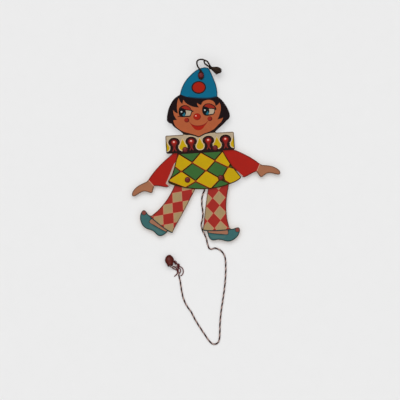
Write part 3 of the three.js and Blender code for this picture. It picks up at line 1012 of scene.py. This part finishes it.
def turned_wood(name, tones, gloss, wear_color, wear_amount, rim_painted_shade=1.0):
    """Lathe-turned wood: three tones in fine rings and end grain, worn through the paint in small places, and
    painted shade that darkens a head towards its rim.
    """
    s = Shader(name)
    place = s.attribute("turning")
    x, y, z = s.add("SeparateXYZ", {"Vector": place}).outputs
    radius = s.math("SQRT", s.math("ADD", s.math("MULTIPLY", x, x), s.math("MULTIPLY", z, z)))
    rings = s.noise(s.add("CombineXYZ", {"X": radius, "Y": y}).outputs[0], 2.1, 3, 0.6)
    grain = s.noise(s.stretch(place, (1.4, 0.3, 0.16)), 1.6, 4, 0.6)
    spots = s.noise(place, 0.55, 4, 0.6)
    tone = s.math("ADD", s.math("MULTIPLY", rings, 0.35), s.math("MULTIPLY", grain, 0.65))
    color = s.ramp(tone, list(zip((0.3, 0.5, 0.72), tones)))
    scuffs = s.noise(place, 1.9, 4, 0.7)
    worn = s.remap(scuffs, 0.64, 0.7, 0, wear_amount)
    color = s.mix(worn, color, linear(wear_color))
    # Painted shade: the colour darkens towards the rim of the head.
    color = s.shade(color, s.remap(spots, 0.3, 0.7, 0.82, 1.1), s.remap(radius, 2.7, 4, 1, rim_painted_shade))
    height = s.math("ADD", s.math("MULTIPLY", rings, 0.8), s.math("MULTIPLY", grain, 0.4))
    s.bump(height, 0.05, 0.6)
    roughness = s.remap(scuffs, 0.35, 0.7, 0.55 - gloss, 0.7 - gloss)
    return s.finish(color, roughness, coat=gloss, coat_roughness=0.2)


def add_turned_pieces():
    wine_tones = ((76, 20, 24), (106, 29, 32), (130, 40, 42))
    # The peg heads get painted shade towards their rims.
    wine = turned_wood("wine_peg_lacquer", wine_tones, 0.2, (150, 96, 70), 0.35, 0.5)
    beech_tones = ((150, 112, 72), (178, 140, 96), (198, 162, 118))
    bare = turned_wood("turned_beech", beech_tones, 0.02, (120, 90, 60), 0.25)
    bead_tones = ((60, 17, 14), (90, 30, 23), (120, 46, 35))
    dark = turned_wood("bead_lacquer", bead_tones, 0.15, (128, 84, 62), 0.4)
    head_height = 2.3
    pegs = ["hat_peg"]
    for joint in ("shoulder", "hip"):
        for side in ("left", "right"):
            pegs.append(f"{joint}_peg_{side}")
            cap = f"retaining_cap_{joint}_{side}"
            middle = box_middle(cap)
            low, high = (corner.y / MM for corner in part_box(cap))
            peg_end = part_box(pegs[-1])[1].y / MM
            place = Matrix.Translation(Vector((middle.x, 0, middle.z)) * MM)
            mesh = turned_mesh(f"turned_{cap}", cap_profile(low, peg_end + 0.2, high), place)
            add_piece(mesh.name, mesh, cap, [bare])
    for peg in pegs:
        middle = box_middle(peg)
        low, high = (corner.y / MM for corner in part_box(peg))
        place = Matrix.Translation(Vector((middle.x, 0, middle.z)) * MM)
        mesh = turned_mesh(f"turned_{peg}", peg_profile(low, low + head_height, high), place)
        add_piece(mesh.name, mesh, peg, [wine])
    mesh = turned_mesh("turned_pull_bead", bead_profile(BEAD_HALF_LENGTH), bead_matrix(), 72)
    add_piece(mesh.name, mesh, "pull_bead", [dark])


# ---------------------------------------------------------------- cords, strings and knots


def frames_along(points):
    """Unit tangents and two unit normals along a path, turned as little as can be from point to point."""
    tangents = np.gradient(points, axis=0)
    tangents /= np.linalg.norm(tangents, axis=1)[:, None]
    guess = np.eye(3)[int(np.argmin(np.abs(tangents[0])))]
    normals = []
    for tangent in tangents:
        guess = guess - (guess @ tangent) * tangent
        guess = guess / np.linalg.norm(guess)
        normals.append(guess)
    normals = np.array(normals)
    return tangents, normals, np.cross(tangents, normals)


class Bundle:
    """Round strands gathered into one mesh. Each face corner knows its place along and around its strand."""

    def __init__(self):
        self.verts = []
        self.faces = []
        self.fibre = []

    def strand(self, path, radius, dye=0.0, sides=8, tip=1.0):
        """One round strand along a path in millimetres. Tip is the share of its radius at the far end."""
        points = np.array(path, float)
        _, across, up = frames_along(points)
        count = len(points)
        reach = np.concatenate(([0], np.cumsum(np.linalg.norm(np.diff(points, axis=0), axis=1))))
        radii = radius * np.interp(reach, (0, reach[-1] * 0.4, reach[-1]), (1, 1, tip))
        turns = np.linspace(0, 1, sides, endpoint=False)
        cosines, sines = np.cos(2 * math.pi * turns), np.sin(2 * math.pi * turns)
        ring = cosines[None, :, None] * across[:, None] + sines[None, :, None] * up[:, None]
        base = len(self.verts)
        self.verts += list((points[:, None] + ring * radii[:, None, None]).reshape(-1, 3))
        self.verts += [points[0], points[-1]]
        first_end = base + count * sides
        for i in range(count - 1):
            for k in range(sides):
                n = (k + 1) % sides
                a, b = base + i * sides, base + (i + 1) * sides
                self.faces.append((a + k, a + n, b + n, b + k))
                corners = ((i, k), (i, k + 1), (i + 1, k + 1), (i + 1, k))
                self.fibre += [(reach[step], turn / sides, dye) for step, turn in corners]
        for k in range(sides):
            n = (k + 1) % sides
            last = base + (count - 1) * sides
            self.faces.append((first_end, base + n, base + k))
            self.faces.append((first_end + 1, last + k, last + n))
            self.fibre += [(0, k / sides, dye)] * 3 + [(reach[-1], k / sides, dye)] * 3

    def cord(self, path, radius, pitch, dyes=(0.0, 1.0), thick=None):
        """Strands twisted together into a cord, not quite evenly. Thick is a strand's share of its radius."""
        points = np.array(path, float)
        _, across, up = frames_along(points)
        reach = np.concatenate(([0], np.cumsum(np.linalg.norm(np.diff(points, axis=0), axis=1))))
        phase = rng.uniform(0, 2 * math.pi)
        slack = 0.9 * np.sin(reach / (2.3 * pitch) + phase) + 0.5 * np.sin(reach / (0.9 * pitch) + 2 * phase)
        share = thick or 1 - 0.93 / (1 + math.sin(math.pi / len(dyes)))
        for number, dye in enumerate(dyes):
            angle = 2 * math.pi * (reach / pitch + number / len(dyes)) + phase + slack
            offset = across * np.cos(angle)[:, None] + up * np.sin(angle)[:, None]
            self.strand(points + offset * ((1 - share) * radius), share * radius, dye)

    def fuzz(self, path, radius, count, longest, forward=False):
        """Loose hairs that stand off a cord, only to its sides and front where it lies on a board."""
        points = np.array(path, float)
        tangents, across, up = frames_along(points)
        for _ in range(count):
            i = rng.randrange(1, len(points) - 1)
            angle = rng.uniform(0, 2 * math.pi)
            out = across[i] * math.cos(angle) + up[i] * math.sin(angle)
            out[1] = -abs(out[1]) if forward else out[1]
            length = rng.uniform(0.4, 1) * longest
            lean = tangents[i] * rng.choice((-1, 1))
            start = points[i] + out * radius * 0.8
            bend = start + out * length * 0.35 + lean * length * 0.4
            end = start + out * length * rng.uniform(0.2, 0.6) + lean * length * rng.uniform(0.6, 1)
            self.strand(smooth([start, bend, end], length / 5), 0.035, rng.choice((0.0, 1.0)), 3, 0.4)


def add_bundle(bundle, name, node, material):
    mesh = bpy.data.meshes.new(name)
    mesh.from_pydata([Vector(vert) * MM for vert in bundle.verts], [], bundle.faces)
    fibre = mesh.attributes.new("fibre", "FLOAT_VECTOR", "CORNER")
    fibre.data.foreach_set("vector", np.array(bundle.fibre, np.float32).ravel())
    mesh.polygons.foreach_set("use_smooth", [True] * len(bundle.faces))
    add_piece(name, mesh, node, [material])


def coil(start, end, radius, turns, squash_y=1.0, per_turn=14):
    """A path wound round the line from start to end, tighter at both ends, as the wraps of a knot are."""
    start, end = np.array(start, float), np.array(end, float)
    axis = (end - start) / np.linalg.norm(end - start)
    across = np.cross(axis, (0.0, 1.0, 0.0))
    if np.linalg.norm(across) < 0.1:
        across = np.cross(axis, (1.0, 0.0, 0.0))
    across /= np.linalg.norm(across)
    up = np.cross(axis, across)
    result = []
    steps = int(turns * per_turn)
    for k in range(steps + 1):
        t = k / steps
        swell = radius * (0.72 + 0.28 * math.sin(math.pi * t))
        angle = 2 * math.pi * turns * t
        offset = across * math.cos(angle) + up * math.sin(angle)
        offset = offset * np.array((1, squash_y, 1))
        result.append(start + (end - start) * t + offset * swell)
    return result


def twisted_cord(name, first, second, yarns=1.15):
    """Cotton yarn in two dyes: slanting fibres, with painted shade in the grooves of the twist and painted light
    on its ridges.
    """
    s = Shader(name)
    fibre = s.attribute("fibre")
    along, around, dye = s.add("SeparateXYZ", {"Vector": fibre}).outputs
    slant = s.math("ADD", s.math("MULTIPLY", along, yarns), s.math("MULTIPLY", around, 3.0))
    twist = s.math("SINE", s.math("MULTIPLY", slant, 2 * math.pi))
    lint = s.noise(s.stretch(fibre, (2.2, 9, 1)), 1.0, 4, 0.65)
    dirt = s.noise(s.stretch(fibre, (0.09, 0, 0)), 1.0, 3)
    height = s.math("ADD", s.math("MULTIPLY", twist, 0.5), lint)
    color = s.mix(dye, linear(first), linear(second))
    # Painted shade in the twist's grooves and painted light on its ridges, with dirt along the cord.
    color = s.shade(color, s.remap(height, -0.1, 1.2, 0.62, 1.25), s.remap(dirt, 0.3, 0.7, 0.75, 1.2))
    s.bump(height, 0.07, 0.9)
    s.surface.inputs["Sheen Weight"].default_value = 0.06
    s.surface.inputs["Sheen Roughness"].default_value = 0.5
    return s.finish(color, 0.88, specular=0.1)


BEAD_HALF_LENGTH = 7.8
CORD_Y = 8
CORD_RADIUS = 1.16
LOOP_RADIUS = 0.92
STRING_RADIUS = 0.42
STRING_END_Y = 6.5
HANGER_RADIUS = 1.2
UPPER_KNOT = (-7.5, CORD_Y, -106.5)
LOWER_KNOT = (-4.5, CORD_Y, -142.75)


def bead_matrix():
    """The bead's place, from the joint it spins on: its own Y axis is the joint's axis."""
    joint = joint_named("bead_spin")
    turn = Vector((0, 1, 0)).rotation_difference(Vector(joint["axis"]))
    return Matrix.Translation(joint["pos_m"]) @ turn.to_matrix().to_4x4()


def pull_cord_path():
    """From above the upper cross knot, out under the torso's hem, round in a long loop and up to the bead."""
    flat = [
        (-7.5, -103.5), (-7.5, -106.5), (-6.4, -124), (-4.5, -142.75), (-5, -160), (-8.6, -169), (-9.8, -180),
        (-9.2, -190), (-9.8, -199), (-12.3, -208), (-11, -217), (-7, -226.5), (-5.2, -236), (-3.2, -242.4),
        (0.4, -243.6), (4.8, -242.6), (10.4, -244.8), (15.2, -249.4), (18, -256), (18.5, -266), (17.4, -281),
        (15, -298), (11.6, -315), (8.2, -331), (5.4, -349), (4.1, -364), (2.4, -372.8), (-1.2, -376.6),
        (-5.4, -377), (-10, -373.6), (-15.6, -365), (-22, -354), (-28.6, -342), (-34, -330), (-39.6, -321),
        (-43.6, -310.6), (-45.6, -299), (-46.6, -287), (-48.2, -277), (-49.6, -269.5),
    ]
    return smooth([(x, CORD_Y, z) for x, z in flat], 0.4)


def add_pull_cord(material):
    pull = Bundle()
    path = pull_cord_path()
    pull.cord(path, CORD_RADIUS, 9.5, (0.0, 0.06, 1.0), thick=0.62)
    pull.fuzz(path, CORD_RADIUS, 160, 2.2)
    add_bundle(pull, "twisted_pull_cord", "pull_cord", material)


def add_bead_tie(material):
    """The knot that ties the cord off: a long wrap and a short one, a bight, two curls and a frayed tail."""
    tie = Bundle()
    pitch = 3.2
    red = (0.0, 0.15)
    tie.cord(coil((-47.6, 6.8, -261.9), (-48.4, 6.9, -267.2), 1.5, 3.6), 0.85, pitch, red)
    tie.cord(smooth([(-47.7, 6.8, -261), (-48.4, 6.9, -268.4), (-49.4, 7.5, -271.6)], 0.4), 1.0, pitch, red)
    tie.cord(coil((-48.9, 7.3, -268.9), (-49.5, 7.5, -272.3), 1.1, 2.4), 0.7, pitch, red)
    tie.cord(coil((-52.9, 8.2, -257.4), (-49.9, 7.2, -262.2), 1.5, 3.1), 0.85, pitch, red)
    bight = [
        (-49.4, 7.4, -270.5), (-52.6, 7.8, -269.2), (-56, 8.2, -267.2), (-56.2, 8.3, -265.6),
        (-54, 8, -264.8), (-51.4, 7.6, -267), (-49.6, 7.3, -269.6),
    ]
    outer_curl = [
        (-47.8, 7.6, -265.4), (-44.6, 8.2, -266), (-42, 8.4, -269.2), (-41.7, 8.4, -273.4),
        (-43, 8.4, -276.8), (-45.4, 8.4, -278.3),
    ]
    inner_curl = [
        (-47.6, 7, -267), (-45.4, 7.2, -269.4), (-45.3, 7.3, -272.2), (-47, 7.4, -274.6), (-49, 7.4, -271.6)
    ]
    tail = [(-49.2, 7.4, -271.4), (-50.4, 8, -275), (-52.4, 8.4, -277.2), (-54.2, 8.4, -278.4)]
    for part in (bight, outer_curl, inner_curl, tail):
        path = smooth(part, 0.35)
        tie.cord(path, LOOP_RADIUS * 0.9, pitch, (0.0, 0.55))
        tie.fuzz(path, LOOP_RADIUS, 8, 1.6)
    for end, way in ((tail[-1], (-0.75, 0.1, -0.6)), (outer_curl[-1], (-0.9, 0.05, -0.35))):
        fray(tie, end, way, 12, 1.8)
    add_bundle(tie, "wound_bead_tie", "bead_tie", material)


def fray(bundle, end, way, count, length):
    """Loose yarn ends that fan out from the end of a cord."""
    way = np.array(way, float)
    for k in range(count):
        spread = np.array([rng.uniform(-0.5, 0.5), rng.uniform(-0.3, 0.1), rng.uniform(-0.5, 0.5)])
        start = np.array(end, float) - way * 0.5 + spread * 0.5
        reach = length * rng.uniform(0.5, 1)
        middle = start + (way + spread * 0.4) * reach * 0.5
        bundle.strand(smooth([start, middle, start + (way + spread) * reach], 0.3), 0.13, k % 2, 5, 0.4)


def add_bead_loop(material):
    """The strand that leaves the knot, runs up through the bead and comes back down its shoulder."""
    matrix = bead_matrix()
    half = BEAD_HALF_LENGTH
    along = (-half + 0.4, -half / 3, half / 3, half - 0.2)
    inside = [tuple((matrix @ (Vector((0, y, 0)) * MM)) / MM) for y in along]
    path = smooth(
        [
            (-48.4, 6.8, -264), (-54, 5.2, -266), (-57.8, 1.9, -265.4), *inside, (-59.1, 8.2, -248.7),
            (-57.2, 8.5, -250.2), (-55.1, 8.5, -253.8), (-53.2, 8.3, -258), (-48.8, 7, -263),
        ],
        0.35,
    )
    loop = Bundle()
    loop.cord(path, LOOP_RADIUS, 5.2, (0.1, 0.9))
    loop.fuzz(path, LOOP_RADIUS, 14, 1.6)
    add_bundle(loop, "twisted_bead_loop", "bead_loop", material)


def add_cross_knots(material):
    for place, (x, y, z) in (("upper", UPPER_KNOT), ("lower", LOWER_KNOT)):
        knot = Bundle()
        wraps = coil((x, y, z + 2), (x, y, z - 2), 1.32, 5)
        knot.cord(wraps, 0.36, 1.6)
        for side in (-1, 1):
            tail = [(1.1, -0.9, 0), (2.4, -1, -1), (3.1, -0.7, -3)]
            knot.cord(smooth([(x + side * a, y + b, z + c) for a, b, c in tail], 0.25), 0.3, 1.4)
        node = f"cross_knot_{place}"
        add_bundle(knot, f"wound_{node}", node, material)


def add_string(material, limb, side, knot):
    """One cross string with the knot in its lever hole. It bends back from its layer to the pull cord."""
    lever = f"lever_knot_{limb}_{side}"
    hole = box_middle(lever)
    lump_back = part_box(lever)[1].y / MM
    board_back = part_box(f"{limb}_{side}")[1].y / MM
    tie = Bundle()
    through = [(hole.x, y, hole.z) for y in (1, 3, board_back + 0.6)]
    tie.cord(smooth(through, 0.3), 0.75, 2.4)
    wraps = coil((hole.x, board_back + 0.4, hole.z), (hole.x, lump_back - 0.35, hole.z), 1.15, 2.5)
    tie.cord(wraps, STRING_RADIUS * 0.9, 1.8)
    add_bundle(tie, f"wound_{lever}", lever, material)

    node = f"{limb}_string_{side}"
    low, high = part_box(node)
    layer = (low.y + high.y) / 2 / MM
    away = np.array((knot[0] - hole.x, 0, knot[2] - hole.z))
    away /= np.linalg.norm(away)
    length = {"arm": 15.5, "leg": 17}[limb]
    start = np.array((hole.x, layer, hole.z))
    rise = np.array((0, STRING_END_Y - layer, 0))
    points = [start + away * 1.6, start + away * 5, start + away * (length - 5), start + away * length + rise]
    string = Bundle()
    path = smooth(points, 0.3)
    string.cord(path, STRING_RADIUS, 1.9)
    string.fuzz(path, STRING_RADIUS, 6, 1.2)
    add_bundle(string, f"twisted_{node}", node, material)


def add_hanger(material, frayed):
    """The hanging cord: a noose drawn up on the hat peg's neck, a stem, an eye, a knot, a frayed tassel."""
    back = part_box("hanging_cord")[1].y / MM
    y = back - HANGER_RADIUS
    knot_x, knot_z = 13.6, 10
    hanger = Bundle()
    half_noose = [(0.3, 6.6), (1, 4.7), (2.8, 2.2), (3.1, -0.6), (2.5, -3.5), (0, -5.3)]
    noose = [(-x, z) for x, z in half_noose] + half_noose[-2::-1]
    stem = [
        (-0.2, 6.2), (-0.8, 7.8), (-2.2, 10), (-3.9, 13), (-4.7, 16.8), (-4, 20), (-1.4, 21.8), (2.6, 22.1),
        (6.2, 20.7), (9.6, 19), (11.4, 16.6), (12.6, 13.8), (knot_x, knot_z),
    ]
    eye = [(6.2, 20.4), (5.7, 18.2), (6.6, 15.9), (8.8, 13.7), (11.4, 11.8), (knot_x, knot_z)]
    for part in (noose, stem, eye):
        path = smooth([(x, y, z) for x, z in part], 0.35)
        hanger.cord(path, HANGER_RADIUS, 4.2, (0.0, 0.3, 0.7))
        hanger.fuzz(path, HANGER_RADIUS, 16, 1.7, forward=True)
    add_bundle(hanger, "twisted_hanging_cord", "hanging_cord", material)

    knot = Bundle()
    way = np.array((0.42, 0, -0.9))
    middle = np.array((knot_x, y - 1.25, knot_z))
    knot.cord(coil(middle - way * 2.2, middle + way * 2.2, 1.5, 3.1, 0.8), 1.1, 4.2, (0.0, 0.2))
    knot.cord([middle + way * reach for reach in (-2.6, -0.8, 0.8, 2.4)], 1.2, 4.2, (0.0, 0.2))
    add_bundle(knot, "wound_hanging_knot", "hanging_knot", material)

    tassel = Bundle()
    upper = smooth([(14.8, 10.4), (19, 10.3), (24, 10), (28, 8.4)], 0.2)
    ends = [(25, 9.5), (28, 8.4), (29.5, 6.5), (29.4, 3.7), (27.8, 1.6), (24.6, 0.8), (22, -0.3)]
    end_line = smooth(ends, 0.2)
    lower = smooth([(22, -0.3), (19.2, 2.6), (16.6, 5.6), (14.2, 8)], 0.2)
    for _ in range(340):
        end_x, end_z = end_line[rng.randrange(len(end_line))]
        depth = rng.uniform(-0.95, 0.55)
        share = 1 - 0.2 * rng.random() ** 2
        wave = rng.uniform(-0.45, 0.45)
        start = np.array((knot_x + rng.uniform(0.2, 1.2), y + 0.5 * depth, knot_z + rng.uniform(-1.9, 0.6)))
        end = np.array((knot_x + (end_x - knot_x) * share, y + depth, knot_z + (end_z - knot_z) * share))
        middle = (start + end) / 2 + np.array((wave * 0.5, 0.3 * depth, wave))
        near = start + (end - start) * 0.22 + np.array((0, 0.2 * depth, 0.4 * wave))
        tassel.strand(smooth([start, near, middle, end], 1.0), 0.24, rng.random(), 5, 0.55)
    for edge in (upper, lower):
        for _ in range(24):
            lift = np.array((0, rng.uniform(-0.7, 0.4), rng.uniform(-0.25, 0.25)))
            path = [np.array((x, y, z)) + lift for x, z in edge[:: 12]]
            if edge is lower:
                path = path[::-1]
            tassel.strand(smooth(path, 1.0), 0.24, rng.random() ** 2, 5, 0.55)
    add_bundle(tassel, "frayed_tassel", "tassel", frayed)


def add_cords():
    pull = twisted_cord("red_grey_cord", (50, 10, 12), (196, 166, 156))
    tied = twisted_cord("red_tie_cord", (92, 28, 32), (150, 96, 90))
    pale = twisted_cord("pale_string", (176, 162, 138), (196, 184, 160), 2.0)
    brown = twisted_cord("dark_brown_cord", (24, 17, 13), (70, 50, 36))
    frayed = twisted_cord("frayed_brown_yarn", (30, 21, 17), (72, 55, 43))
    add_pull_cord(pull)
    add_bead_tie(tied)
    add_bead_loop(pull)
    add_cross_knots(pale)
    for side in ("left", "right"):
        add_string(pale, "arm", side, UPPER_KNOT)
        add_string(pale, "leg", side, LOWER_KNOT)
    add_hanger(brown, frayed)


add_turned_pieces()
add_cords()

# ---------------------------------------------------------------- stage, light and camera


BACKDROP = (236, 236, 236)
BACKDROP_GLOW = 0.12
WALL_PAINT = (233, 233, 233)
WALL_BOUNCE = 0.25
EVEN_FILL = 0.13
SOFTBOX_DARK = 0.02
SOFTBOX_BRIGHT = 1.3


def add_wall():
    """A pale wall at the puppet's back, partly self-lit. From behind, view and light pass through it."""
    wall_y = cad_bounds[1].y + 0.0002
    mesh = bpy.data.meshes.new("wall")
    low, high = (-1.6, -1.5), (1.6, 1.2)
    corners = [(low[0], low[1]), (high[0], low[1]), (high[0], high[1]), (low[0], high[1])]
    mesh.from_pydata([(x, wall_y, z) for x, z in corners], [], [(0, 1, 2, 3)])
    wall = bpy.data.objects.new("wall", mesh)
    bpy.context.scene.collection.objects.link(wall)
    s = Shader("wall_paint")
    where = s.add("TexCoord", {}).outputs["Object"]
    tone = s.remap(s.noise(where, 60, 3), 0.3, 0.7, 0.995, 1.005)
    s.feed(s.surface.inputs["Emission Color"], linear(BACKDROP))
    s.feed(s.surface.inputs["Emission Strength"], BACKDROP_GLOW)
    bounced = s.add("LightPath", {}).outputs["Is Diffuse Ray"]
    share = s.math("MULTIPLY", tone, s.remap(bounced, 0, 1, 1 - BACKDROP_GLOW, WALL_BOUNCE))
    s.finish(s.shade(linear(WALL_PAINT), share), 1.0, specular=0)
    behind = s.add("NewGeometry", {}).outputs["Backfacing"]
    clear = s.add("BsdfTransparent", {}).outputs[0]
    switch = s.add("MixShader", {0: behind, 1: s.surface.outputs[0], 2: clear})
    s.tree.links.new(switch.outputs[0], s.tree.nodes["Material Output"].inputs["Surface"])
    mesh.materials.append(s.material)
    wall.visible_shadow = False
    wall.visible_glossy = False
    wall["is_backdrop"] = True


def add_sun(name, direction, strength, spread):
    """A soft far light that shines along a direction. Only the studio's softbox shows in glossy surfaces."""
    lamp = bpy.data.lights.new(name, "SUN")
    lamp.energy = strength
    lamp.angle = math.radians(spread)
    sun = bpy.data.objects.new(name, lamp)
    sun.rotation_mode = "QUATERNION"
    sun.rotation_quaternion = Vector(direction).to_track_quat("-Z", "Y")
    sun.visible_glossy = False
    bpy.context.scene.collection.objects.link(sun)


def add_studio():
    """Surroundings: pale to the camera, a softbox up and to the left in reflections, and a weak even fill."""
    world = bpy.data.worlds.new("studio")
    world.use_nodes = True
    s = Nodes(world.node_tree)
    softbox = Vector((-0.3, -0.72, 0.62)).normalized()
    way = s.add("TexCoord", {}).outputs["Generated"]
    facing = s.add("VectorMath", {0: way, 1: softbox}, operation="DOT_PRODUCT").outputs["Value"]
    glow = s.remap(facing, 0.86, 0.95, SOFTBOX_DARK, SOFTBOX_BRIGHT)
    path = s.add("LightPath", {})
    strength = s.remap(path.outputs["Is Glossy Ray"], 0, 1, EVEN_FILL, glow)
    strength = s.remap(path.outputs["Is Camera Ray"], 0, 1, strength, linear(BACKDROP)[0])
    s.feed(world.node_tree.nodes["Background"].inputs["Strength"], strength)
    s.feed(world.node_tree.nodes["Background"].inputs["Color"], (1, 1, 1, 1))
    bpy.context.scene.world = world


def add_lights():
    add_sun("key_light", (0.05, 1, -0.36), 1.27, 42)
    add_sun("fill_light", (0, 1, 0), 1.63, 104)
    add_sun("back_light", (-0.5, -1, -0.5), 2.3, 60)
    add_studio()
    bpy.context.scene.view_settings.view_transform = "Standard"


def add_camera():
    """A long lens square to the printed face, rolled as far as the puppet lies turned in its picture."""
    roll = math.radians(3.5)
    frame_width, lens, sensor = 560 * MM, 200, 36
    target = Vector((-12.0, 0, -173.9)) * MM
    camera = bpy.data.objects.new("camera", bpy.data.cameras.new("camera"))
    camera.data.lens = lens
    camera.data.sensor_width = sensor
    right = Vector((math.cos(roll), 0, -math.sin(roll)))
    up = Vector((math.sin(roll), 0, math.cos(roll)))
    backwards = right.cross(up)
    turned = Matrix((right, up, backwards)).transposed().to_4x4()
    camera.matrix_world = Matrix.Translation(target + backwards * frame_width * lens / sensor) @ turned
    bpy.context.scene.collection.objects.link(camera)
    bpy.context.scene.camera = camera


add_wall()
add_lights()
add_camera()

boxes = {"cad": cad_bounds, "visual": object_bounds()}
{name: [list(corner) for corner in box] for name, box in boxes.items()}
